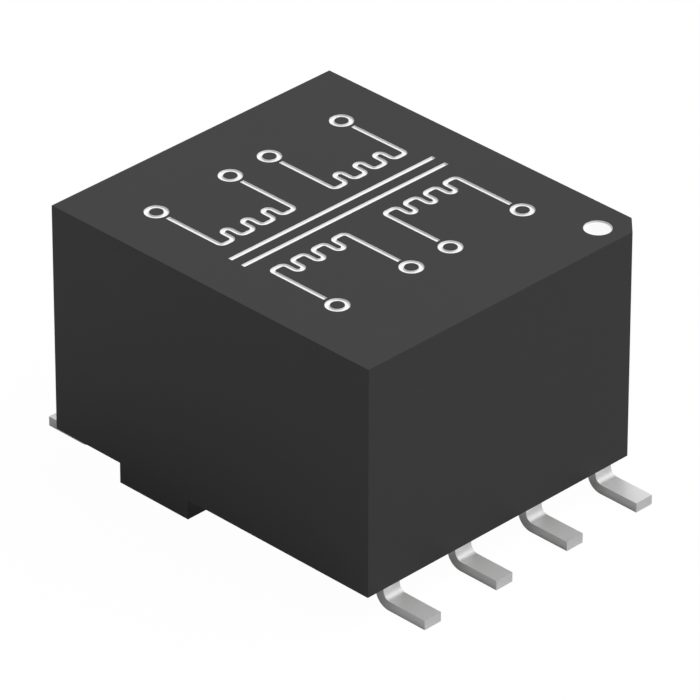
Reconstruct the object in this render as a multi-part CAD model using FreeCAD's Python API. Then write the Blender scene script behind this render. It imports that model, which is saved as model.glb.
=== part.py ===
"""Surface-mount board transformer: a ferrite E core pair on a wound bobbin, under a moulded cap.

Millimetres. The origin is on the board, under the middle of the cap. +Z is up, +X runs along the
terminals' feet, and the chamfered corner with the pin 1 recess is at +X, +Y.
"""
import FreeCAD
import Part
import math
import os

from FreeCAD import Vector

# Terminals: flat tinned strip, gull-wing feet in a 2.5 mm grid
terminal_pitch = 2.5
terminals_per_side = 4
terminal_width = 0.564
terminal_thickness = 0.27
terminal_inner_radius = 0.22
terminal_outer_radius = 0.44
terminal_reach = 1.145
terminal_inset = 0.26
post_rise = 0.527
post_length = 0.85
neck_width = 0.36
anchor_length = 0.75
anchor_barb = 0.08
anchor_barb_length = 0.25

# Cap: five-sided moulding, open at the bottom
stand_off = 0.773
cap_length = 11.01
cap_end_wall = 0.45
cap_side_wall = 0.50
cap_roof = 0.45
cap_edge_radius = 0.015
cap_inside_radius = 0.25
cap_corner_chamfer = 0.49

# Feet of the cap: each runs flush with a long wall and hooks under the core
foot_length = 2.43
foot_anchor_gap = 0.181
foot_drop = 0.575
foot_depth = 0.95
foot_lead_in = 0.25
foot_clearance = 0.03
foot_notch_clearance = 0.10

# Pin 1 recess and its paint
recess_from_end = 0.74
recess_from_side = 0.945
recess_radius = 0.37
recess_depth = 0.07
paint_thickness = 0.02
paint_clearance = 0.005

# Relief grooves for the terminal legs, in the cap's end walls
groove_side_clearance = 0.12
groove_face_clearance = 0.06
groove_top_clearance = 0.15

# Locating ribs inside the cap's long walls
rib_width = 0.50
rib_edge = 0.09
rib_spacing = 4.60
rib_clearance = 0.02
rib_top_gap = 0.60

# Core: two E halves with a ground gap in the centre leg
core_side_gap = 0.1875
core_ledge = 0.12
core_thickness = 3.0
core_back = 1.0
core_outer_leg = 1.15
core_centre_leg = 1.85
core_air_gap = 0.10
core_joint_gap = 0.01
core_corner_radius = 0.30
core_window_radius = 0.15

# Bobbin
tube_wall = 0.35
tube_clearance = 0.06
tube_corner_radius = 0.30
flange_thickness = 0.45
flange_gap = 0.15
flange_side_gap = 0.10
flange_margin = 0.03
flange_corner_radius = 0.40
rail_rise = 0.10
rail_height = 1.366
rail_margin = 0.118
rail_side_gap = 0.1875
rail_seat_gap = 0.02
rail_edge = 0.12
notch_width = 0.90
notch_depth = 0.62

# Coils and tapes, from the tube outwards
coil_end_gap = 0.03
layer_gap = 0.005
primary_build = 0.38
secondary_build = 0.28
auxiliary_wire = 0.16
auxiliary_turns = 12
auxiliary_end_margin = 0.21
auxiliary_flank = 0.11
tape_thickness = 0.055
outer_tape_end_margin = 0.67
tape_overlap = 1.60

# Tape round the core
core_tape_thickness = 0.05
core_tape_height = 1.80
core_tape_overlap = 3.0

# Wire ends
lead_diameter = 0.16
lead_notch_offset = 0.22
lead_bend_radius = 0.22
lead_bend_steps = 3
lead_wraps = 2.25
lead_sides = 6
lead_corners_per_turn = 8
lead_wrap_pitch = 0.165
lead_wrap_clearance = 0.01
lead_rail_clearance = 0.01

# Adhesive between the flanges and the roof
glue_thickness = 0.08
glue_length = 2.6
glue_margin = 0.06

# Lengthwise places, from the cap's end wall inwards
cap_half_x = cap_length / 2
cavity_half_x = cap_half_x - cap_end_wall
leg_outer_x = cap_half_x - terminal_inset
leg_inner_x = leg_outer_x - terminal_thickness
foot_tip_x = cap_half_x + terminal_reach
rail_end_x = leg_inner_x - post_length
anchor_end_x = rail_end_x - anchor_length
core_half_x = rail_end_x - core_ledge
window_half_x = core_half_x - core_back
flange_outer_x = window_half_x - flange_gap
flange_inner_x = flange_outer_x - flange_thickness
coil_half_x = flange_inner_x - coil_end_gap
auxiliary_half_x = coil_half_x - auxiliary_end_margin
auxiliary_pitch = 2 * auxiliary_half_x / auxiliary_turns
outer_tape_half_x = coil_half_x - outer_tape_end_margin
cap_foot_far_x = anchor_end_x - foot_anchor_gap
cap_foot_near_x = cap_foot_far_x - foot_length

# Sideways places, from the row of terminals outwards
row_half_y = terminal_pitch * (terminals_per_side - 1) / 2
rail_half_y = row_half_y + terminal_width / 2 + rail_margin
cavity_half_y = rail_half_y + rail_side_gap
cap_half_y = cavity_half_y + cap_side_wall
core_half_y = cavity_half_y - core_side_gap
window_half_y = core_half_y - core_outer_leg
flange_half_y = window_half_y - flange_side_gap
tube_half_y = core_centre_leg / 2 + tube_clearance + tube_wall
tube_half_z = core_thickness / 2 + tube_clearance + tube_wall

# Layers of the coil, measured from the tube
primary_outer = primary_build
secondary_inner = primary_outer + tape_thickness + 2 * layer_gap
secondary_outer = secondary_inner + secondary_build
auxiliary_inner = secondary_outer + tape_thickness + 2 * layer_gap
auxiliary_outer = auxiliary_inner + auxiliary_wire
coil_build = auxiliary_outer + layer_gap + tape_thickness
flange_half_z = tube_half_z + coil_build + flange_margin

# Heights, from the board upwards
rail_bottom = stand_off + rail_rise
rail_top = rail_bottom + rail_height
post_underside = rail_bottom + post_rise
post_top = post_underside + terminal_thickness
post_middle = post_underside + terminal_thickness / 2
core_bottom = rail_top + rail_seat_gap
coil_z = core_bottom + core_thickness / 2
cavity_top = coil_z + flange_half_z + glue_thickness
cap_top = cavity_top + cap_roof
cap_height = cap_top - stand_off


def at(value, place):
    """Whether two lengths are the same."""
    return abs(value - place) < 1e-6


def box(x0, x1, y0, y1, z0, z1):
    """A box between two corners."""
    return Part.makeBox(x1 - x0, y1 - y0, z1 - z0, Vector(x0, y0, z0))


def outline_face(start, steps):
    """A flat face. Each step is a point, for a straight edge, or a middle and a point, for an arc."""
    edges = []
    last = start
    for step in steps:
        if isinstance(step, tuple):
            middle, point = step
            edges.append(Part.Arc(last, middle, point).toShape())
        else:
            point = step
            edges.append(Part.LineSegment(last, point).toShape())
        last = point
    edges.append(Part.LineSegment(last, start).toShape())
    return Part.Face(Part.Wire(edges))


def rounded_wire(half_a, half_b, radius, place):
    """A closed rounded rectangle. place(a, b) turns its two measures into a point."""
    corners = [(1, 1, 0), (-1, 1, 90), (-1, -1, 180), (1, -1, 270)]
    edges = []
    last = None
    for sign_a, sign_b, start in corners:
        centre_a = sign_a * (half_a - radius)
        centre_b = sign_b * (half_b - radius)
        points = []
        for step in (0, 45, 90):
            angle = math.radians(start + step)
            points.append(place(centre_a + radius * math.cos(angle), centre_b + radius * math.sin(angle)))
        if last is not None:
            edges.append(Part.LineSegment(last, points[0]).toShape())
        edges.append(Part.Arc(*points).toShape())
        last = points[2]
    first = edges[0].firstVertex(True).Point
    edges.append(Part.LineSegment(last, first).toShape())
    return Part.Wire(edges)


def coil_section(x, build):
    """The outline of a layer on the bobbin's tube, at a height of build above the tube."""
    return rounded_wire(tube_half_y + build, tube_half_z + build, tube_corner_radius + build,
                        lambda a, b: Vector(x, a, coil_z + b))


def ring_along_x(inner, outer, half_length):
    """A rounded rectangular ring round the coil's axis, inner and outer measured from the tube."""
    along = Vector(2 * half_length, 0, 0)
    outside = Part.Face(coil_section(-half_length, outer)).extrude(along)
    inside = Part.Face(coil_section(-half_length, inner)).extrude(along)
    return outside.cut(inside)


def turned(shape, half_turns):
    """The same piece on the other side of the part: half a turn about the vertical axis."""
    copy = shape.copy()
    copy.rotate(Vector(0, 0, 0), Vector(0, 0, 1), 180 * half_turns)
    return copy


def mirrored(shape, side_x, side_y):
    """The same piece in another quarter of the part."""
    copy = shape.copy()
    if side_x < 0:
        copy = copy.mirror(Vector(0, 0, 0), Vector(1, 0, 0))
    if side_y < 0:
        copy = copy.mirror(Vector(0, 0, 0), Vector(0, 1, 0))
    return copy


def cap_blank():
    """The outside of the cap: a block with one chamfered corner and fine moulded edges."""
    c = cap_corner_chamfer
    outline = [
        Vector(-cap_half_x, -cap_half_y, stand_off),
        Vector(cap_half_x, -cap_half_y, stand_off),
        Vector(cap_half_x, cap_half_y - c, stand_off),
        Vector(cap_half_x - c, cap_half_y, stand_off),
        Vector(-cap_half_x, cap_half_y, stand_off),
    ]
    blank = Part.Face(Part.makePolygon(outline + outline[:1])).extrude(Vector(0, 0, cap_height))
    rounded = []
    for edge in blank.Edges:
        low, high = sorted(vertex.Point.z for vertex in edge.Vertexes)
        if high > stand_off + cap_height / 2:
            rounded.append(edge)
    return blank.makeFillet(cap_edge_radius, rounded)


def cap_foot():
    """A foot that hangs below the cap's rim, with a hook under the core and a lead-in edge."""
    outer_y = -cap_half_y
    inner_y = outer_y + foot_depth
    low = stand_off - foot_drop
    high = core_bottom - foot_clearance
    side = [
        Vector(0, outer_y, low),
        Vector(0, inner_y - foot_lead_in, low),
        Vector(0, inner_y, low + foot_lead_in),
        Vector(0, inner_y, high),
        Vector(0, outer_y, high),
    ]
    foot = Part.Face(Part.makePolygon(side + side[:1])).extrude(Vector(foot_length, 0, 0))
    foot.translate(Vector(-cap_foot_far_x, 0, 0))
    return foot


def cap_rib(x, side):
    """An upright rib that centres the core between the long walls."""
    height = core_side_gap - core_tape_thickness - layer_gap - rib_clearance
    inner = cavity_half_y - height
    y0, y1 = sorted((side * inner, side * cavity_half_y))
    rib = box(x - rib_width / 2, x + rib_width / 2, y0, y1, rail_top, cavity_top - rib_top_gap)
    upright_edges = [edge for edge in rib.Edges
                     if all(at(vertex.Point.y, side * inner) for vertex in edge.Vertexes)
                     and at(edge.Vertexes[0].Point.x, edge.Vertexes[1].Point.x)]
    return rib.makeChamfer(rib_edge, upright_edges)


def terminal_rows():
    """Sideways places of the terminals in a row, first terminal first."""
    return [row_half_y - index * terminal_pitch for index in range(terminals_per_side)]


def make_cap():
    """The cap: shell, feet with hooks, ribs, leg grooves and the pin 1 recess."""
    cap = cap_blank()
    cavity = Part.Face(rounded_wire(cavity_half_x, cavity_half_y, cap_inside_radius,
                                    lambda a, b: Vector(a, b, stand_off)))
    cap = cap.cut(cavity.extrude(Vector(0, 0, cavity_top - stand_off)))
    for half_turns in (0, 1):
        cap = cap.fuse(turned(cap_foot(), half_turns))
    for x in (-rib_spacing / 2, rib_spacing / 2):
        for side in (-1, 1):
            cap = cap.fuse(cap_rib(x, side))
    groove_half_y = terminal_width / 2 + groove_side_clearance
    groove_x = leg_outer_x + groove_face_clearance
    groove_top = post_top + groove_top_clearance
    for y in terminal_rows():
        for x0, x1 in ((cavity_half_x - cap_end_wall, groove_x), (-groove_x, cap_end_wall - cavity_half_x)):
            cap = cap.cut(box(x0, x1, y - groove_half_y, y + groove_half_y, stand_off, groove_top))
    recess = Part.makeCylinder(recess_radius, recess_depth + cap_roof,
                               Vector(cap_half_x - recess_from_end, cap_half_y - recess_from_side,
                                      cap_top - recess_depth))
    return cap.cut(recess).removeSplitter()


def make_pin_1_mark():
    """White paint on the floor of the recess."""
    return Part.makeCylinder(recess_radius - paint_clearance, paint_thickness,
                             Vector(cap_half_x - recess_from_end, cap_half_y - recess_from_side,
                                    cap_top - recess_depth))


def rounded_corner(x, z, radius, side):
    """Start, middle and end of an arc that rounds a corner of the strip, from the flat part to the leg."""
    cut = side * radius * (1 - math.sqrt(0.5))
    return Vector(x + side * radius, 0, z), Vector(x + cut, 0, z + cut), Vector(x, 0, z + side * radius)


def terminal_profile():
    """Side view of a terminal at +X: anchor, post, bend, leg, bend and foot."""
    post_high, high_middle, leg_high = rounded_corner(leg_outer_x, post_top, terminal_outer_radius, -1)
    post_low, low_middle, leg_low = rounded_corner(leg_inner_x, post_underside, terminal_inner_radius, -1)
    foot_back, back_middle, leg_front = rounded_corner(
        leg_outer_x, terminal_thickness, terminal_inner_radius, 1)
    sole_back, sole_middle, leg_back = rounded_corner(leg_inner_x, 0, terminal_outer_radius, 1)
    return outline_face(Vector(anchor_end_x, 0, post_top), [
        post_high,
        (high_middle, leg_high),
        leg_front,
        (back_middle, foot_back),
        Vector(foot_tip_x, 0, terminal_thickness),
        Vector(foot_tip_x, 0, 0),
        sole_back,
        (sole_middle, leg_back),
        leg_low,
        (low_middle, post_low),
        Vector(anchor_end_x, 0, post_underside),
    ])


def make_terminal():
    """One terminal on the x axis: bent strip, a narrow neck for the wire and barbs in the rail."""
    half = terminal_width / 2
    strip = terminal_profile().extrude(Vector(0, terminal_width, 0))
    strip.translate(Vector(0, -half, 0))
    neck_end = leg_outer_x - terminal_outer_radius
    barb_x = rail_end_x - anchor_length / 2
    notches = [
        (rail_end_x, neck_end, neck_width / 2),
        (barb_x - anchor_barb_length / 2, barb_x + anchor_barb_length / 2, half - anchor_barb),
    ]
    for x0, x1, left_width in notches:
        for side in (-1, 1):
            y0, y1 = sorted((side * left_width, side * terminal_width))
            strip = strip.cut(box(x0, x1, y0, y1, post_underside, post_top))
    return strip.removeSplitter()


def make_core_half():
    """The E half at +X, with rounded outer corners and window corners."""
    blank = Part.Face(rounded_wire(core_half_x, core_half_y, core_corner_radius,
                                   lambda a, b: Vector(a, b, core_bottom)))
    core = blank.extrude(Vector(0, 0, core_thickness))
    core = core.common(box(core_joint_gap / 2, core_half_x, -core_half_y, core_half_y,
                           core_bottom, core_bottom + core_thickness))
    for side in (-1, 1):
        y0, y1 = sorted((side * core_centre_leg / 2, side * window_half_y))
        window = box(-core_corner_radius, window_half_x, y0, y1, core_bottom, core_bottom + core_thickness)
        corners = [edge for edge in window.Edges
                   if all(at(vertex.Point.x, window_half_x) for vertex in edge.Vertexes)
                   and at(edge.Vertexes[0].Point.y, edge.Vertexes[1].Point.y)]
        core = core.cut(window.makeFillet(core_window_radius, corners))
    core = core.cut(box(0, core_air_gap / 2, -core_centre_leg / 2, core_centre_leg / 2,
                        core_bottom, core_bottom + core_thickness))
    return core.removeSplitter()


def wire_notch(y):
    """An arched passage for the wire ends, through both flanges and rails."""
    radius = notch_width / 2
    low = min(rail_bottom, coil_z - flange_half_z)
    spring = rail_bottom + notch_depth - radius
    face = outline_face(Vector(-rail_end_x, y - radius, low), [
        Vector(-rail_end_x, y + radius, low),
        Vector(-rail_end_x, y + radius, spring),
        (Vector(-rail_end_x, y, spring + radius), Vector(-rail_end_x, y - radius, spring)),
    ])
    return face.extrude(Vector(2 * rail_end_x, 0, 0))


def make_bobbin(terminals):
    """The bobbin: tube, flanges and rails, moulded round the terminals' anchors."""
    def along_tube(half_a, half_b, radius):
        outline = rounded_wire(half_a, half_b, radius, lambda a, b: Vector(-flange_outer_x, a, coil_z + b))
        return Part.Face(outline).extrude(Vector(2 * flange_outer_x, 0, 0))
    bore = along_tube(tube_half_y - tube_wall, tube_half_z - tube_wall, tube_clearance)
    bobbin = along_tube(tube_half_y, tube_half_z, tube_corner_radius).cut(bore)
    for side in (-1, 1):
        x0, x1 = sorted((side * flange_inner_x, side * flange_outer_x))
        outline = rounded_wire(flange_half_y, flange_half_z, flange_corner_radius,
                               lambda a, b: Vector(x0, a, coil_z + b))
        flange = Part.Face(outline).extrude(Vector(x1 - x0, 0, 0))
        bobbin = bobbin.fuse(flange.cut(bore))
        x0, x1 = sorted((side * flange_outer_x, side * rail_end_x))
        rail = box(x0, x1, -rail_half_y, rail_half_y, rail_bottom, rail_top)
        lower_edges = [edge for edge in rail.Edges
                       if all(at(vertex.Point.z, rail_bottom) for vertex in edge.Vertexes)
                       or (all(at(vertex.Point.x, side * rail_end_x) for vertex in edge.Vertexes)
                           and at(edge.Vertexes[0].Point.y, edge.Vertexes[1].Point.y))]
        bobbin = bobbin.fuse(rail.makeChamfer(rail_edge, lower_edges))
    notch_rows = [0.5 * (a + b) for a, b in zip(terminal_rows(), terminal_rows()[1:])]
    for y in notch_rows:
        tunnel = wire_notch(y)
        bobbin = bobbin.cut(tunnel.common(box(flange_inner_x, rail_end_x, -rail_half_y, rail_half_y,
                                              0, rail_top)))
        bobbin = bobbin.cut(tunnel.common(box(-rail_end_x, -flange_inner_x, -rail_half_y, rail_half_y,
                                              0, rail_top)))
    for half_turns in (0, 1):
        hook = box(-cap_foot_far_x - foot_notch_clearance, -cap_foot_near_x + foot_notch_clearance,
                   -cap_half_y, -cap_half_y + foot_depth + foot_notch_clearance, 0, rail_top)
        bobbin = bobbin.cut(turned(hook, half_turns))
    for terminal in terminals:
        bobbin = bobbin.cut(terminal)
    return bobbin.removeSplitter()


def make_auxiliary_winding():
    """The outermost coil: turns side by side, each a ridge with sloping flanks."""
    valley = auxiliary_inner + auxiliary_wire / 3
    profile = [(-auxiliary_half_x, valley)]
    for turn in range(auxiliary_turns):
        x = -auxiliary_half_x + turn * auxiliary_pitch
        profile.append((x + auxiliary_flank, auxiliary_outer))
        profile.append((x + auxiliary_pitch - auxiliary_flank, auxiliary_outer))
        profile.append((x + auxiliary_pitch, valley))
    sections = [coil_section(x, build) for x, build in profile]
    ridged = Part.makeLoft(sections, True, True)
    inside = Part.Face(coil_section(-auxiliary_half_x, auxiliary_inner))
    return ridged.cut(inside.extrude(Vector(2 * auxiliary_half_x, 0, 0)))


def make_outer_tape():
    """Yellow tape over the coil, narrower than the coil, with a lapped end on one side."""
    inner = auxiliary_outer + layer_gap
    outer = inner + tape_thickness
    tape = ring_along_x(inner, outer, outer_tape_half_x)
    lap = box(-outer_tape_half_x, outer_tape_half_x, tube_half_y + outer,
              tube_half_y + outer + tape_thickness, coil_z - tape_overlap / 2, coil_z + tape_overlap / 2)
    return tape.fuse(lap).removeSplitter()


def make_core_tape():
    """Tape round both core halves, with a lapped end on one back."""
    def section(build):
        return Part.Face(rounded_wire(core_half_x + build, core_half_y + build, core_corner_radius + build,
                                      lambda a, b: Vector(a, b, coil_z - core_tape_height / 2)))
    height = Vector(0, 0, core_tape_height)
    inner = layer_gap
    outer = inner + core_tape_thickness
    tape = section(outer).extrude(height).cut(section(inner).extrude(height))
    lap = box(-core_half_x - outer - core_tape_thickness, -core_half_x - outer,
              -core_tape_overlap / 2, core_tape_overlap / 2,
              coil_z - core_tape_height / 2, coil_z + core_tape_height / 2)
    return tape.fuse(lap).removeSplitter()


def mitred_wire(route, radius, sides):
    """A closed prism along straight runs, cut and joined at half the angle of each corner."""
    runs = [(after - before).normalize() for before, after in zip(route, route[1:])]
    side = runs[0].cross(Vector(0, 0, 1)).normalize()
    upright = side.cross(runs[0])
    corners = [(index + 0.5) * 2 * math.pi / sides for index in range(sides)]
    ring = [route[0] + side * (radius * math.cos(a)) + upright * (radius * math.sin(a)) for a in corners]
    faces = [Part.Face(Part.makePolygon(ring + ring[:1]))]
    for index, run in enumerate(runs):
        end = route[index + 1]
        last = index == len(runs) - 1
        mitre = run if last else run + runs[index + 1]
        following = [point + run * ((end - point).dot(mitre) / run.dot(mitre)) for point in ring]
        for k in range(sides):
            j = (k + 1) % sides
            faces.append(Part.Face(Part.makePolygon([ring[k], ring[j], following[j], following[k], ring[k]])))
        ring = following
    faces.append(Part.Face(Part.makePolygon(ring + ring[:1])))
    shell = Part.makeShell(faces)
    shell.sewShape()
    solid = Part.makeSolid(shell)
    if solid.Volume < 0:
        solid.reverse()
    return solid


def bend_points(corner, before, after, radius, steps):
    """Points along a tangent arc at a corner of a route."""
    turn = before.getAngle(after)
    tangent = radius * math.tan(turn / 2)
    start = corner - before * tangent
    points = []
    for step in range(steps + 1):
        angle = turn * step / steps
        points.append(start + before * (radius * math.sin(angle)) + after * (radius * (1 - math.cos(angle))))
    return points


def make_lead_out(terminal_y):
    """A wire end at +X: out through the notch nearer the middle and wrapped on the terminal's neck."""
    notch_y = terminal_y - terminal_pitch / 2
    in_middle = abs(notch_y) < notch_width / 2
    lead_y = notch_y + lead_notch_offset if in_middle else notch_y - lead_notch_offset
    wire_radius = lead_diameter / 2
    neck_radius = math.hypot(neck_width / 2, terminal_thickness / 2)
    wrap_radius = neck_radius + wire_radius + lead_wrap_clearance
    level = post_middle - wrap_radius
    cross_x = rail_end_x + wire_radius + lead_rail_clearance
    corner = Vector(cross_x, lead_y, level)
    bend = bend_points(corner, Vector(1, 0, 0), Vector(0, 1, 0), lead_bend_radius, lead_bend_steps)
    route = [Vector(flange_inner_x, lead_y, level)] + bend
    half_step = math.pi / lead_corners_per_turn
    for index in range(round(lead_wraps * lead_corners_per_turn)):
        angle = (2 * index + 1) * half_step
        route.append(Vector(cross_x + lead_wrap_pitch * angle / (2 * math.pi),
                            terminal_y + wrap_radius * math.sin(angle) / math.cos(half_step),
                            post_middle - wrap_radius * math.cos(angle) / math.cos(half_step)))
    return mitred_wire(route, wire_radius, lead_sides)


def make_glue(side):
    """A squeezed bead of adhesive between a flange's top edge and the roof."""
    x0, x1 = sorted((side * (flange_inner_x + glue_margin), side * (flange_outer_x - glue_margin)))
    return box(x0, x1, -glue_length / 2, glue_length / 2, coil_z + flange_half_z, cavity_top)


def save(name, shape):
    """Write one piece to its own file."""
    shape.exportStep(os.path.join("parts", name + ".step"))


def main():
    os.makedirs("parts", exist_ok=True)
    strip = make_terminal()
    terminals = []
    for side in (1, -1):
        rows = terminal_rows() if side > 0 else terminal_rows()[::-1]
        for y in rows:
            terminal = mirrored(strip, side, 1)
            terminal.translate(Vector(0, y, 0))
            terminals.append((terminal, side, y))
    save("cap", make_cap())
    save("pin_1_mark", make_pin_1_mark())
    save("bobbin", make_bobbin([terminal for terminal, side, y in terminals]))
    core = make_core_half()
    save("core_half_right", core)
    save("core_half_left", mirrored(core, -1, 1))
    save("core_tape", make_core_tape())
    layers = {
        "primary_winding": (layer_gap, primary_outer),
        "primary_tape": (primary_outer + layer_gap, secondary_inner - layer_gap),
        "secondary_winding": (secondary_inner, secondary_outer),
        "secondary_tape": (secondary_outer + layer_gap, auxiliary_inner - layer_gap),
    }
    for name, (inner, outer) in layers.items():
        save(name, ring_along_x(inner, outer, coil_half_x))
    save("auxiliary_winding", make_auxiliary_winding())
    save("outer_tape", make_outer_tape())
    save("glue_right", make_glue(1))
    save("glue_left", make_glue(-1))
    for number, (terminal, side, y) in enumerate(terminals, start=1):
        save(f"terminal_{number}", terminal)
        save(f"lead_out_{number}", mirrored(make_lead_out(abs(y)), side, y))


main()
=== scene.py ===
"""Looks for the surface-mount board transformer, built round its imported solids."""
import math

import bpy
from mathutils import Matrix, Vector


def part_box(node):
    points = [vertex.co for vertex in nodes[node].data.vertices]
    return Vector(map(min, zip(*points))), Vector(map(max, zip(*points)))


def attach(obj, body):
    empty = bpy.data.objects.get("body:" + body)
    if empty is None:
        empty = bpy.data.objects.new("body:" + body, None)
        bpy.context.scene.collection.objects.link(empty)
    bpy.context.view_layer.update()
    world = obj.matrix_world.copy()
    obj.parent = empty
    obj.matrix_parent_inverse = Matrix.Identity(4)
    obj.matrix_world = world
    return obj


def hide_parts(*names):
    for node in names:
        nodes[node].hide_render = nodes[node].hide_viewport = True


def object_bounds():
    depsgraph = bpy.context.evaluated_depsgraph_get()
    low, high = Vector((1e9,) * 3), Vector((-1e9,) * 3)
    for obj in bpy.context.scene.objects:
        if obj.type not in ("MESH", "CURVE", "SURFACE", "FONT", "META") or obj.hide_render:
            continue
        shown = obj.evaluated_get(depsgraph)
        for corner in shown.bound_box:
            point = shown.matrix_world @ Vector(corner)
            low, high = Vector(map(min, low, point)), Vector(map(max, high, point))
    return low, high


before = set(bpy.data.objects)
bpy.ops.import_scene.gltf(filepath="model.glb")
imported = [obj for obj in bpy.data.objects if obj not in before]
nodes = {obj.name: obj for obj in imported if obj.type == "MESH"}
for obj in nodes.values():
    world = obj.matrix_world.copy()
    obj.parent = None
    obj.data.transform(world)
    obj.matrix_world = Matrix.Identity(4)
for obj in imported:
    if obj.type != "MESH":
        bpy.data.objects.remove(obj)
cad_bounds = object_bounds()

MM = 0.001
cap_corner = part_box("cap")[1]
cap_top = cap_corner.z
terminal_count = 8

# Recess and paint of the marking
line_width = 0.14 * MM
recess_depth = 0.07 * MM
recess_floor = cap_top - recess_depth
paint_gap = 0.003 * MM
paint_wall = 0.014 * MM
paint_floor = 0.020 * MM
paint_below_top = 0.006 * MM
corner_round = 0.19 * MM
corner_segments = 5
pad_sides = 28
spot_sides = 64

# Layout of the winding diagram on the cap, in millimetres
diagram_middle = -0.30
coil_hump_width = 0.44
coil_hump_gap = 0.26
coil_hump_height = 0.50
coil_humps = 4
coil_side = 0.85
stub_end = 2.75
pad_radius = 0.25
pad_distance = 3.15
core_bar_half = 3.55
core_bar_side = 0.22
winding_rows = (-1.95, 1.95)

# Meshes, with angles in degrees; a face whose normal rises by more than upward faces up
merge_distance = 0.001 * MM
upward = 0.9
cap_shade_angle = 5
paint_shade_angle = 40
wire_flat_angle = 1
wire_quad_fold = 20
wire_quad_skew = 60
wire_cut_angle = 75
wire_shade_angle = 50
wire_smoothing = 2

# Camera, with angles in degrees and lengths in millimetres
camera_azimuth = 44.906
camera_elevation = 31.267
camera_roll = 0.058
aim_height = 0.773
aim_right = 0.0503
aim_up = 2.2083
camera_distance = 188.67
camera_lens = 387.70
sensor_width = 36

# Floor and light, where a level of 1 is white. The two shadows are the shares of its true shading that
# the floor keeps for the camera and in reflections, and its bounce is what it throws back on the part.
floor_radius = 0.6
floor_sides = 96
floor_gap = 0.002 * MM
floor_white = 0.95
floor_shadow = 0.02
floor_mirror_shadow = 0.85
floor_bounce = 0.60
under_light = 0.80
under_share = 0.84
sky_level = 0.40
key_source = (0.30, 0.45, 0.84)
key_level = 0.72
key_spread = 50


# Working by hand

def deselect():
    if bpy.context.object and bpy.context.object.mode != "OBJECT":
        bpy.ops.object.mode_set(mode="OBJECT")
    bpy.ops.object.select_all(action="DESELECT")


def pick(*pieces):
    """Select these pieces, with the first one active."""
    deselect()
    for piece in pieces:
        piece.select_set(True)
    bpy.context.view_layer.objects.active = pieces[0]


def edit(piece):
    """Enter edit mode on a piece, with all of it selected."""
    pick(piece)
    bpy.ops.object.mode_set(mode="EDIT")
    bpy.ops.mesh.select_all(action="SELECT")


def done():
    bpy.ops.object.mode_set(mode="OBJECT")


def edit_where(piece, kind, test):
    """Enter edit mode with only the faces or vertices selected that pass the test."""
    pick(piece)
    for group in (piece.data.vertices, piece.data.edges, piece.data.polygons):
        for item in group:
            item.select = False
    for item in getattr(piece.data, kind):
        item.select = test(item)
    bpy.ops.object.mode_set(mode="EDIT")
    bpy.ops.mesh.select_mode(type={"vertices": "VERT", "polygons": "FACE"}[kind])


def apply_modifier(piece, kind, **settings):
    """Add a modifier with its settings and apply it."""
    pick(piece)
    modifier = piece.modifiers.new(kind.lower(), kind)
    for name, value in settings.items():
        setattr(modifier, name, value)
    bpy.ops.object.modifier_apply(modifier=modifier.name)


def settle(piece):
    """Put a piece's place and turn into its mesh."""
    pick(piece)
    bpy.ops.object.transform_apply(location=True, rotation=True, scale=True)


def shade(piece, degrees):
    pick(piece)
    bpy.ops.object.shade_smooth_by_angle(angle=math.radians(degrees))


def outward(piece):
    edit(piece)
    bpy.ops.mesh.normals_make_consistent(inside=False)
    done()


def copy_of(source, name):
    """A piece of its own with a merged copy of another one's mesh."""
    deselect()
    piece = bpy.data.objects.new(name, source.data.copy())
    bpy.context.scene.collection.objects.link(piece)
    edit(piece)
    bpy.ops.mesh.remove_doubles(threshold=merge_distance)
    done()
    return piece


def wear(piece, material):
    piece.data.materials.clear()
    piece.data.materials.append(material)


# Nodes that groups and materials share

def feed(tree, socket, value):
    """Link a socket to another one, or give it a value of its own."""
    if hasattr(value, "is_linked"):
        tree.links.new(value, socket)
    else:
        socket.default_value = value


def source_of(socket):
    """The output that feeds a linked socket."""
    return socket.links[0].from_socket


def math_node(tree, operation, *values):
    """The result of a math node fed by sockets or numbers."""
    node = tree.nodes.new("ShaderNodeMath")
    node.operation = operation
    for socket, value in zip(node.inputs, values):
        feed(tree, socket, value)
    return node.outputs[0]


def noise_node(tree, vector, scale, detail, roughness=0.55):
    node = tree.nodes.new("ShaderNodeTexNoise")
    settings = {"Vector": vector, "Scale": scale, "Detail": detail, "Roughness": roughness}
    for name, value in settings.items():
        feed(tree, node.inputs[name], value)
    return node.outputs["Fac"]


def scaled_colour(tree, colour, level):
    """A colour made darker or lighter by a level."""
    node = tree.nodes.new("ShaderNodeVectorMath")
    node.operation = "SCALE"
    feed(tree, node.inputs[0], colour)
    feed(tree, node.inputs["Scale"], level)
    return node.outputs[0]


def mixed_colour(tree, factor, first, second):
    """Two colours mixed by a mask, as an RGBA mix keeps them on its sockets 6 and 7."""
    node = tree.nodes.new("ShaderNodeMix")
    node.data_type = "RGBA"
    feed(tree, node.inputs["Factor"], factor)
    feed(tree, node.inputs[6], first)
    feed(tree, node.inputs[7], second)
    return node.outputs[2]


def axes_of(tree, vector):
    """X, Y and Z of a vector."""
    split = tree.nodes.new("ShaderNodeSeparateXYZ")
    feed(tree, split.inputs[0], vector)
    return split.outputs


def object_place(tree):
    return tree.nodes.new("ShaderNodeTexCoord").outputs["Object"]


def true_normal(tree):
    return tree.nodes.new("ShaderNodeNewGeometry").outputs["True Normal"]


def relief_node(tree, height, distance):
    """A bump from a height of 0 to 1 that stands for a distance."""
    node = tree.nodes.new("ShaderNodeBump")
    node.inputs["Distance"].default_value = distance
    feed(tree, node.inputs["Height"], height)
    return node


def place_group(tree, group, values):
    """A group node in a material, with its own values or links."""
    node = tree.nodes.new("ShaderNodeGroup")
    node.node_tree = group
    for name, value in values.items():
        feed(tree, node.inputs[name], value)
    return node


# Node groups

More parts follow.
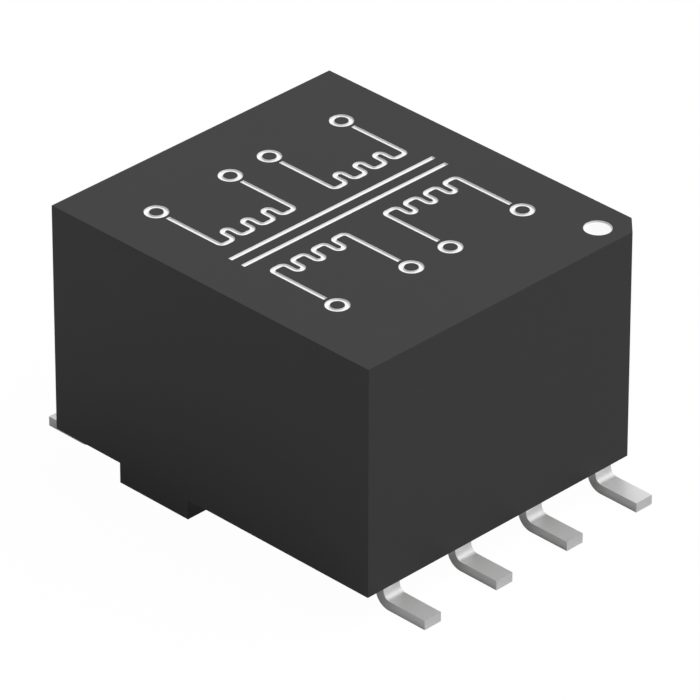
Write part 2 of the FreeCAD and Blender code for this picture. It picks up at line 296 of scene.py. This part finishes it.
noise_middle = 0.5
broad_grain_scale = 0.12
broad_grain_share = 0.3
groove_sharpness = 6.0


def new_group(name, inputs, outputs):
    """An empty node group with named sockets: its tree, its input node and its output node."""
    tree = bpy.data.node_groups.new(name, "ShaderNodeTree")
    for label, kind, default in inputs:
        socket = tree.interface.new_socket(name=label, in_out="INPUT", socket_type=kind)
        if default is not None:
            socket.default_value = default
    for label, kind in outputs:
        tree.interface.new_socket(name=label, in_out="OUTPUT", socket_type=kind)
    return tree, tree.nodes.new("NodeGroupInput"), tree.nodes.new("NodeGroupOutput")


def make_tone_group():
    """Colour that drifts a little over the surface, in soft clouds and fine specks."""
    tree, inside, outside = new_group(
        "colour drift",
        [("Vector", "NodeSocketVector", None), ("Colour", "NodeSocketColor", None),
         ("Cloud Scale", "NodeSocketFloat", 400.0), ("Cloud Amount", "NodeSocketFloat", 0.05),
         ("Speck Scale", "NodeSocketFloat", 9000.0), ("Speck Amount", "NodeSocketFloat", 0.05)],
        [("Colour", "NodeSocketColor")])
    level = 1.0
    for part, detail in (("Cloud", 3.0), ("Speck", 2.0)):
        noise = noise_node(tree, inside.outputs["Vector"], inside.outputs[f"{part} Scale"], detail)
        drift = math_node(tree, "SUBTRACT", noise, noise_middle)
        share = math_node(tree, "MULTIPLY", drift, inside.outputs[f"{part} Amount"])
        level = math_node(tree, "ADD", share, level)
    feed(tree, outside.inputs["Colour"], scaled_colour(tree, inside.outputs["Colour"], level))
    return tree


def make_grain_group():
    """A moulded or sintered grain: a height, and a roughness that follows it."""
    tree, inside, outside = new_group(
        "surface grain",
        [("Vector", "NodeSocketVector", None), ("Scale", "NodeSocketFloat", 12000.0),
         ("Roughness", "NodeSocketFloat", 0.5), ("Spread", "NodeSocketFloat", 0.08)],
        [("Height", "NodeSocketFloat"), ("Roughness", "NodeSocketFloat")])
    fine = noise_node(tree, inside.outputs["Vector"], inside.outputs["Scale"], detail=5.0, roughness=0.6)
    broad_scale = math_node(tree, "MULTIPLY", inside.outputs["Scale"], broad_grain_scale)
    broad = noise_node(tree, inside.outputs["Vector"], broad_scale, detail=2.0)
    fine_height = math_node(tree, "MULTIPLY", fine, 1.0 - broad_grain_share)
    broad_height = math_node(tree, "MULTIPLY", broad, broad_grain_share)
    height = math_node(tree, "ADD", fine_height, broad_height)
    drift = math_node(tree, "SUBTRACT", height, noise_middle)
    spread = math_node(tree, "MULTIPLY", drift, inside.outputs["Spread"])
    feed(tree, outside.inputs["Height"], height)
    feed(tree, outside.inputs["Roughness"], math_node(tree, "ADD", inside.outputs["Roughness"], spread))
    return tree


def make_turns_group():
    """Round wires side by side along X: a height, and a mask of the grooves between them, where shade is
    painted.
    """
    tree, inside, outside = new_group(
        "wire turns",
        [("Vector", "NodeSocketVector", None), ("Pitch", "NodeSocketFloat", 0.0001)],
        [("Height", "NodeSocketFloat"), ("Groove", "NodeSocketFloat")])
    turn = math_node(tree, "DIVIDE", axes_of(tree, inside.outputs["Vector"])["X"], inside.outputs["Pitch"])
    doubled = math_node(tree, "MULTIPLY", math_node(tree, "FRACT", turn), 2.0)
    across = math_node(tree, "SUBTRACT", doubled, 1.0)
    dome = math_node(tree, "SUBTRACT", 1.0, math_node(tree, "MULTIPLY", across, across))
    feed(tree, outside.inputs["Height"], math_node(tree, "SQRT", math_node(tree, "MAXIMUM", dome, 0.0)))
    off_middle = math_node(tree, "ABSOLUTE", across)
    feed(tree, outside.inputs["Groove"], math_node(tree, "POWER", off_middle, groove_sharpness))
    return tree


tone_group = make_tone_group()
grain_group = make_grain_group()
turns_group = make_turns_group()


# Finishes

def make_finish(name, colour, roughness, grain_scale, bump, cloud, speck, spread=0.08, speck_scale=9000.0,
                **sockets):
    """A finish with drifting colour and a fine grain; constant values go on the shader's own sockets."""
    material = bpy.data.materials.new(name)
    material.use_nodes = True
    material.diffuse_color = (*colour, 1.0)
    tree = material.node_tree
    shader = tree.nodes["Principled BSDF"]
    place = object_place(tree)
    tone = place_group(tree, tone_group, {
        "Vector": place, "Colour": (*colour, 1.0), "Cloud Amount": cloud,
        "Speck Amount": speck, "Speck Scale": speck_scale})
    grain = place_group(tree, grain_group, {
        "Vector": place, "Scale": grain_scale, "Roughness": roughness, "Spread": spread})
    relief = relief_node(tree, grain.outputs["Height"], bump)
    feed(tree, shader.inputs["Base Color"], tone.outputs["Colour"])
    feed(tree, shader.inputs["Roughness"], grain.outputs["Roughness"])
    feed(tree, shader.inputs["Normal"], relief.outputs["Normal"])
    for socket, value in sockets.items():
        shader.inputs[socket.replace("_", " ")].default_value = value
    return material


def lay_turns(material, groove_shade_colour, pitch):
    """Enamelled wire laid in even turns along X, with painted shade in the grooves between the turns."""
    tree = material.node_tree
    shader = tree.nodes["Principled BSDF"]
    turns = place_group(tree, turns_group, {"Vector": object_place(tree), "Pitch": pitch})
    wire_colour = source_of(shader.inputs["Base Color"])
    blend = mixed_colour(tree, turns.outputs["Groove"], wire_colour, (*groove_shade_colour, 1.0))
    relief = relief_node(tree, turns.outputs["Height"], pitch / 2)
    feed(tree, relief.inputs["Normal"], source_of(shader.inputs["Normal"]))
    feed(tree, shader.inputs["Base Color"], blend)
    feed(tree, shader.inputs["Normal"], relief.outputs["Normal"])


def shade_paint_walls(material, wall_shade_colour):
    """Upright faces of the paint get a grey colour: painted shade on the walls of the recesses."""
    tree = material.node_tree
    colour = tree.nodes["Principled BSDF"].inputs["Base Color"]
    flatness = math_node(tree, "ABSOLUTE", axes_of(tree, true_normal(tree))["Z"])
    feed(tree, colour, mixed_colour(tree, flatness, (*wall_shade_colour, 1.0), source_of(colour)))


def shade_cut_faces(material, side_shade_share, tip_shade_share):
    """The strip's sheared sides and tips, which keep only a share of the plate's brightness: partly the
    duller cut metal, partly painted shade standing in for the darker reflections they catch.
    """
    tree = material.node_tree
    colour = tree.nodes["Principled BSDF"].inputs["Base Color"]
    facing = axes_of(tree, true_normal(tree))
    reach = math_node(tree, "ABSOLUTE", axes_of(tree, object_place(tree))["X"])
    side = math_node(tree, "ABSOLUTE", facing["Y"])
    at_tip = math_node(tree, "GREATER_THAN", reach, strip_end)
    tip = math_node(tree, "MULTIPLY", math_node(tree, "ABSOLUTE", facing["X"]), at_tip)
    side_shade = math_node(tree, "MULTIPLY", side, 1.0 - side_shade_share)
    tip_shade = math_node(tree, "MULTIPLY", tip, 1.0 - tip_shade_share)
    level = math_node(tree, "SUBTRACT", 1.0, math_node(tree, "ADD", side_shade, tip_shade))
    feed(tree, colour, scaled_colour(tree, source_of(colour), level))


def roughen_bends(material, gain):
    """Rougher plate where the strip is bent, because tin dulls when it is stretched."""
    tree = material.node_tree
    roughness = tree.nodes["Principled BSDF"].inputs["Roughness"]
    facing = axes_of(tree, true_normal(tree))
    slope = math_node(tree, "ABSOLUTE", math_node(tree, "MULTIPLY", facing["X"], facing["Z"]))
    extra = math_node(tree, "MULTIPLY", slope, gain)
    feed(tree, roughness, math_node(tree, "ADD", source_of(roughness), extra))


copper_enamel = (0.60, 0.23, 0.085)
strip_end = cad_bounds[1].x - 0.01 * MM

cap_finish = make_finish(
    "moulded cap black", (0.0365, 0.0365, 0.0365), roughness=0.50, grain_scale=16000.0, bump=0.0012 * MM,
    cloud=0.05, speck=0.06, Specular_IOR_Level=0.10)
bobbin_finish = make_finish(
    "moulded bobbin black", (0.024, 0.023, 0.022), roughness=0.50, grain_scale=12000.0, bump=0.0015 * MM,
    cloud=0.10, speck=0.06, Specular_IOR_Level=0.25)
ferrite_finish = make_finish(
    "sintered ferrite", (0.085, 0.085, 0.090), roughness=0.58, grain_scale=20000.0, bump=0.004 * MM,
    cloud=0.08, speck=0.55, spread=0.25, speck_scale=14000.0, Specular_IOR_Level=0.4)
tin_finish = make_finish(
    "matt tin plate", (0.71, 0.71, 0.707), roughness=0.44, grain_scale=14000.0, bump=0.0015 * MM,
    cloud=0.05, speck=0.04, spread=0.12, Metallic=0.60)
# The darker sides and tips of the tin are partly duller cut metal and partly painted shade.
shade_cut_faces(tin_finish, side_shade_share=0.59, tip_shade_share=0.73)
roughen_bends(tin_finish, gain=0.30)
wire_finish = make_finish(
    "enamelled wire", copper_enamel, roughness=0.28, grain_scale=6000.0, bump=0.001 * MM,
    cloud=0.12, speck=0.04, Metallic=0.7, Coat_Weight=0.6, Coat_Roughness=0.12)
winding_finish = make_finish(
    "laid wire", copper_enamel, roughness=0.30, grain_scale=5000.0, bump=0.002 * MM,
    cloud=0.12, speck=0.04, Metallic=0.75, Coat_Weight=0.6, Coat_Roughness=0.15)
# The dark groove colour is painted shade between the turns.
lay_turns(winding_finish, groove_shade_colour=(0.10, 0.03, 0.012), pitch=0.16 * MM)
tape_finish = make_finish(
    "yellow film tape", (0.72, 0.46, 0.055), roughness=0.22, grain_scale=1500.0, bump=0.004 * MM,
    cloud=0.08, speck=0.03, spread=0.10, Coat_Weight=0.5, Coat_Roughness=0.08)
paint_finish = make_finish(
    "white marking paint", (0.95, 0.95, 0.95), roughness=0.70, grain_scale=18000.0, bump=0.001 * MM,
    cloud=0.02, speck=0.02, Specular_IOR_Level=0.1)
# The grey on the paint's upright faces is painted shade on the recess walls.
shade_paint_walls(paint_finish, wall_shade_colour=(0.62, 0.62, 0.62))
adhesive_finish = make_finish(
    "cured adhesive", (0.55, 0.48, 0.36), roughness=0.35, grain_scale=2500.0, bump=0.01 * MM,
    cloud=0.15, speck=0.04, Coat_Weight=0.4, Coat_Roughness=0.2)


# Camera

def add_camera():
    """A long lens that looks down on the front corner of the part."""
    data = bpy.data.cameras.new("camera")
    camera = bpy.data.objects.new("camera", data)
    bpy.context.scene.collection.objects.link(camera)
    azimuth, elevation, roll = map(math.radians, (camera_azimuth, camera_elevation, camera_roll))
    towards = Vector((math.sin(azimuth) * math.cos(elevation), -math.cos(azimuth) * math.cos(elevation),
                      math.sin(elevation)))
    level_right = Vector((math.cos(azimuth), math.sin(azimuth), 0))
    level_up = towards.cross(level_right)
    right = level_right * math.cos(roll) + level_up * math.sin(roll)
    up = level_up * math.cos(roll) - level_right * math.sin(roll)
    aim = Vector((0, 0, aim_height)) + right * aim_right + up * aim_up
    turn = Matrix((right, up, towards)).transposed().to_4x4()
    camera.matrix_world = Matrix.Translation((aim + towards * camera_distance) * MM) @ turn
    data.sensor_width = sensor_width
    data.lens = camera_lens
    data.clip_start = 0.01
    data.clip_end = 10
    bpy.context.scene.camera = camera


add_camera()


# Marking on the cap

def add_line(points, rounded):
    """A chain of vertices at the floor of the marking, through points in mm, with rounded inner corners."""
    deselect()
    x, y = points[0]
    bpy.ops.mesh.primitive_plane_add(size=line_width, location=(x * MM, y * MM, recess_floor))
    line = bpy.context.object
    settle(line)
    edit(line)
    bpy.ops.mesh.merge(type="CENTER")
    for before, after in zip(points, points[1:]):
        step = (Vector((*after, 0)) - Vector((*before, 0))) * MM
        bpy.ops.mesh.extrude_region_move(TRANSFORM_OT_translate={"value": step})
    done()
    if rounded:
        last = len(points) - 1
        edit_where(line, "vertices", lambda vertex: 0 < vertex.index < last)
        bpy.ops.mesh.bevel(offset=rounded, segments=corner_segments, affect="VERTICES", clamp_overlap=True)
        done()
    return line


def add_pad(x, y):
    """A small ring at the end of a stub."""
    deselect()
    bpy.ops.mesh.primitive_circle_add(vertices=pad_sides, radius=pad_radius * MM,
                                      location=(x * MM, y * MM, recess_floor))
    ring = bpy.context.object
    settle(ring)
    return ring


def coil_points(side, middle):
    """Corners of one winding: in from a stub, over its humps, and out by the other stub."""
    span = coil_humps * coil_hump_width + (coil_humps - 1) * coil_hump_gap
    start = middle - span / 2
    base = diagram_middle + side * (coil_side + coil_hump_height)
    crest = diagram_middle + side * coil_side
    points = [(diagram_middle + side * stub_end, start)]
    for hump in range(coil_humps):
        y = start + hump * (coil_hump_width + coil_hump_gap)
        if hump:
            points.append((base, y))
        points.append((crest, y))
        points.append((crest, y + coil_hump_width))
        if hump < coil_humps - 1:
            points.append((base, y + coil_hump_width))
    points.append((diagram_middle + side * stub_end, start + span))
    return points


def draw_diagram():
    """All lines of the diagram, as one flat piece."""
    lines = []
    for side in (-1, 1):
        for middle in winding_rows:
            points = coil_points(side, middle)
            lines.append(add_line(points, corner_round))
            for end in (points[0], points[-1]):
                lines.append(add_pad(diagram_middle + side * pad_distance, end[1]))
        bar = diagram_middle + side * core_bar_side
        lines.append(add_line([(bar, -core_bar_half), (bar, core_bar_half)], 0))
    pick(*lines)
    bpy.ops.object.join()
    return bpy.context.object


def raise_lines(lines, name, width, bottom, top):
    """Turn a copy of the flat lines into closed strokes between two heights."""
    strokes = copy_of(lines, name)
    edit(strokes)
    bpy.ops.transform.translate(value=(0, 0, bottom - recess_floor))
    bpy.ops.mesh.extrude_region_move(TRANSFORM_OT_translate={"value": (0, 0, top - bottom)})
    outward(strokes)
    apply_modifier(strokes, "SOLIDIFY", thickness=width, offset=0, use_even_offset=True)
    outward(strokes)
    return strokes


def line_recess(paint, sink):
    """Sink the upward faces inside a thin wall, so that the paint lines its recess."""
    edit_where(paint, "polygons", lambda face: face.normal.z > upward)
    bpy.ops.mesh.inset(thickness=paint_wall, use_even_offset=True)
    bpy.ops.transform.translate(value=(0, 0, -sink))
    done()
    shade(paint, paint_shade_angle)


def make_marking():
    """The cap with its recessed diagram, and the paint in the recesses."""
    lines = draw_diagram()
    cutter = raise_lines(lines, "cutter", line_width, recess_floor, cap_top + recess_depth)
    cap = copy_of(nodes["cap"], "cap_shell")
    apply_modifier(cap, "BOOLEAN", operation="DIFFERENCE", solver="EXACT", object=cutter)
    shade(cap, cap_shade_angle)
    paint = raise_lines(lines, "diagram_paint", line_width - 2 * paint_gap,
                        recess_floor + paint_gap, cap_top - paint_below_top)
    line_recess(paint, recess_depth - paint_gap - paint_below_top - paint_floor)
    for spare in (cutter, lines):
        bpy.data.objects.remove(spare)
    return cap, paint


def make_pin_paint():
    """The white spot at pin 1, lining its round recess."""
    low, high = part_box("pin_1_mark")
    bottom, top = low.z, cap_top - paint_below_top
    deselect()
    bpy.ops.mesh.primitive_cylinder_add(
        vertices=spot_sides, radius=(high.x - low.x) / 2, depth=top - bottom,
        location=((low.x + high.x) / 2, (low.y + high.y) / 2, (bottom + top) / 2))
    spot = bpy.context.object
    spot.name = "pin_1_paint"
    settle(spot)
    line_recess(spot, top - high.z)
    return spot


cap, diagram_paint = make_marking()
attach(cap, "root")
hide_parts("cap")
wear(cap, cap_finish)

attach(diagram_paint, "root")
wear(diagram_paint, paint_finish)

pin_paint = make_pin_paint()
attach(pin_paint, "root")
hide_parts("pin_1_mark")
wear(pin_paint, paint_finish)


# Wire ends

def make_wire(number):
    """A round wire end with smooth bends and square cuts, grown from its faceted solid."""
    wire = copy_of(nodes[f"lead_out_{number}"], f"wire_end_{number}")
    edit(wire)
    bpy.ops.mesh.dissolve_limited(angle_limit=math.radians(wire_flat_angle))
    bpy.ops.mesh.select_all(action="SELECT")
    bpy.ops.mesh.tris_convert_to_quads(face_threshold=math.radians(wire_quad_fold),
                                       shape_threshold=math.radians(wire_quad_skew))
    bpy.ops.mesh.select_all(action="DESELECT")
    bpy.ops.mesh.select_mode(type="EDGE")
    bpy.ops.mesh.edges_select_sharp(sharpness=math.radians(wire_cut_angle))
    bpy.ops.transform.edge_crease(value=1)
    done()
    apply_modifier(wire, "SUBSURF", levels=wire_smoothing, render_levels=wire_smoothing)
    shade(wire, wire_shade_angle)
    return wire


for number in range(1, terminal_count + 1):
    wire = make_wire(number)
    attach(wire, "root")
    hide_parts(f"lead_out_{number}")
    wear(wire, wire_finish)


# Finishes of the solids that stay

kept_finishes = {
    "bobbin": bobbin_finish,
    "core_half_left": ferrite_finish,
    "core_half_right": ferrite_finish,
    "core_tape": tape_finish,
    "outer_tape": tape_finish,
    "primary_tape": tape_finish,
    "secondary_tape": tape_finish,
    "primary_winding": winding_finish,
    "secondary_winding": winding_finish,
    "auxiliary_winding": wire_finish,
    "glue_left": adhesive_finish,
    "glue_right": adhesive_finish,
}
for number in range(1, terminal_count + 1):
    kept_finishes[f"terminal_{number}"] = tin_finish
for name, finish in kept_finishes.items():
    for slot in nodes[name].material_slots:
        slot.material = finish


# Floor, background and light

def mix_shaders(tree, factor, first, second):
    """Two shaders mixed by a mask."""
    mix = tree.nodes.new("ShaderNodeMixShader")
    for socket, value in zip(mix.inputs, (factor, first, second)):
        feed(tree, socket, value)
    return mix.outputs[0]


def diffuse(tree, level):
    node = tree.nodes.new("ShaderNodeBsdfDiffuse")
    node.inputs["Color"].default_value = (level, level, level, 1)
    return node.outputs[0]


def glow(tree, level):
    node = tree.nodes.new("ShaderNodeEmission")
    node.inputs["Strength"].default_value = level
    return node.outputs[0]


def shown_rays(tree, path):
    """A mask of the rays that show the background: straight, reflected and refracted."""
    seen = math_node(tree, "MAXIMUM", path["Is Camera Ray"], path["Is Glossy Ray"])
    return math_node(tree, "MAXIMUM", seen, path["Is Transmission Ray"])


def under_cap(tree):
    """A mask of the floor that lies under the cap's opening."""
    spot = axes_of(tree, object_place(tree))
    width = math_node(tree, "DIVIDE", math_node(tree, "ABSOLUTE", spot["X"]), cap_corner.x)
    depth = math_node(tree, "DIVIDE", math_node(tree, "ABSOLUTE", spot["Y"]), cap_corner.y)
    return math_node(tree, "LESS_THAN", math_node(tree, "MAXIMUM", width, depth), under_share)


def make_floor():
    """A white floor with a faint shadow. From below it is open, and it lights the underside."""
    deselect()
    bpy.ops.mesh.primitive_circle_add(vertices=floor_sides, radius=floor_radius, fill_type="NGON",
                                      location=(0, 0, -floor_gap))
    floor = bpy.context.object
    floor.name = "floor"
    settle(floor)
    material = bpy.data.materials.new("white floor")
    material.use_nodes = True
    tree = material.node_tree
    tree.nodes.clear()
    out = tree.nodes.new("ShaderNodeOutputMaterial")
    path = tree.nodes.new("ShaderNodeLightPath").outputs
    camera_rays = path["Is Camera Ray"]
    fainter = math_node(tree, "MULTIPLY", camera_rays, floor_mirror_shadow - floor_shadow)
    shadow_share = math_node(tree, "SUBTRACT", floor_mirror_shadow, fainter)
    shown = mix_shaders(tree, shadow_share, glow(tree, 1.0), diffuse(tree, floor_white))
    plain = mix_shaders(tree, shown_rays(tree, path), diffuse(tree, floor_bounce), shown)
    unseen = math_node(tree, "SUBTRACT", 1.0, camera_rays)
    lit = math_node(tree, "MULTIPLY", under_cap(tree), unseen)
    top = mix_shaders(tree, lit, plain, glow(tree, under_light))
    underside = tree.nodes.new("ShaderNodeNewGeometry").outputs["Backfacing"]
    opening = tree.nodes.new("ShaderNodeBsdfTransparent").outputs[0]
    feed(tree, out.inputs["Surface"], mix_shaders(tree, underside, top, opening))
    wear(floor, material)


def make_background():
    """A white background; the light that it gives the object has its own level."""
    world = bpy.data.worlds.new("studio")
    bpy.context.scene.world = world
    world.use_nodes = True
    tree = world.node_tree
    background = tree.nodes["Background"]
    seen = shown_rays(tree, tree.nodes.new("ShaderNodeLightPath").outputs)
    background.inputs["Color"].default_value = (1, 1, 1, 1)
    brighter = math_node(tree, "MULTIPLY", seen, 1.0 - sky_level)
    feed(tree, background.inputs["Strength"], math_node(tree, "ADD", brighter, sky_level))


def add_key_light():
    """Soft light from one side; at a level of 1 it lights a facing white surface to white."""
    data = bpy.data.lights.new("key", "SUN")
    data.energy = key_level * math.pi
    data.angle = math.radians(key_spread)
    sun = bpy.data.objects.new("key", data)
    bpy.context.scene.collection.objects.link(sun)
    sun.matrix_world = Vector(key_source).to_track_quat("Z", "Y").to_matrix().to_4x4()


make_floor()
make_background()
add_key_light()
bpy.context.scene.view_settings.view_transform = "Standard"
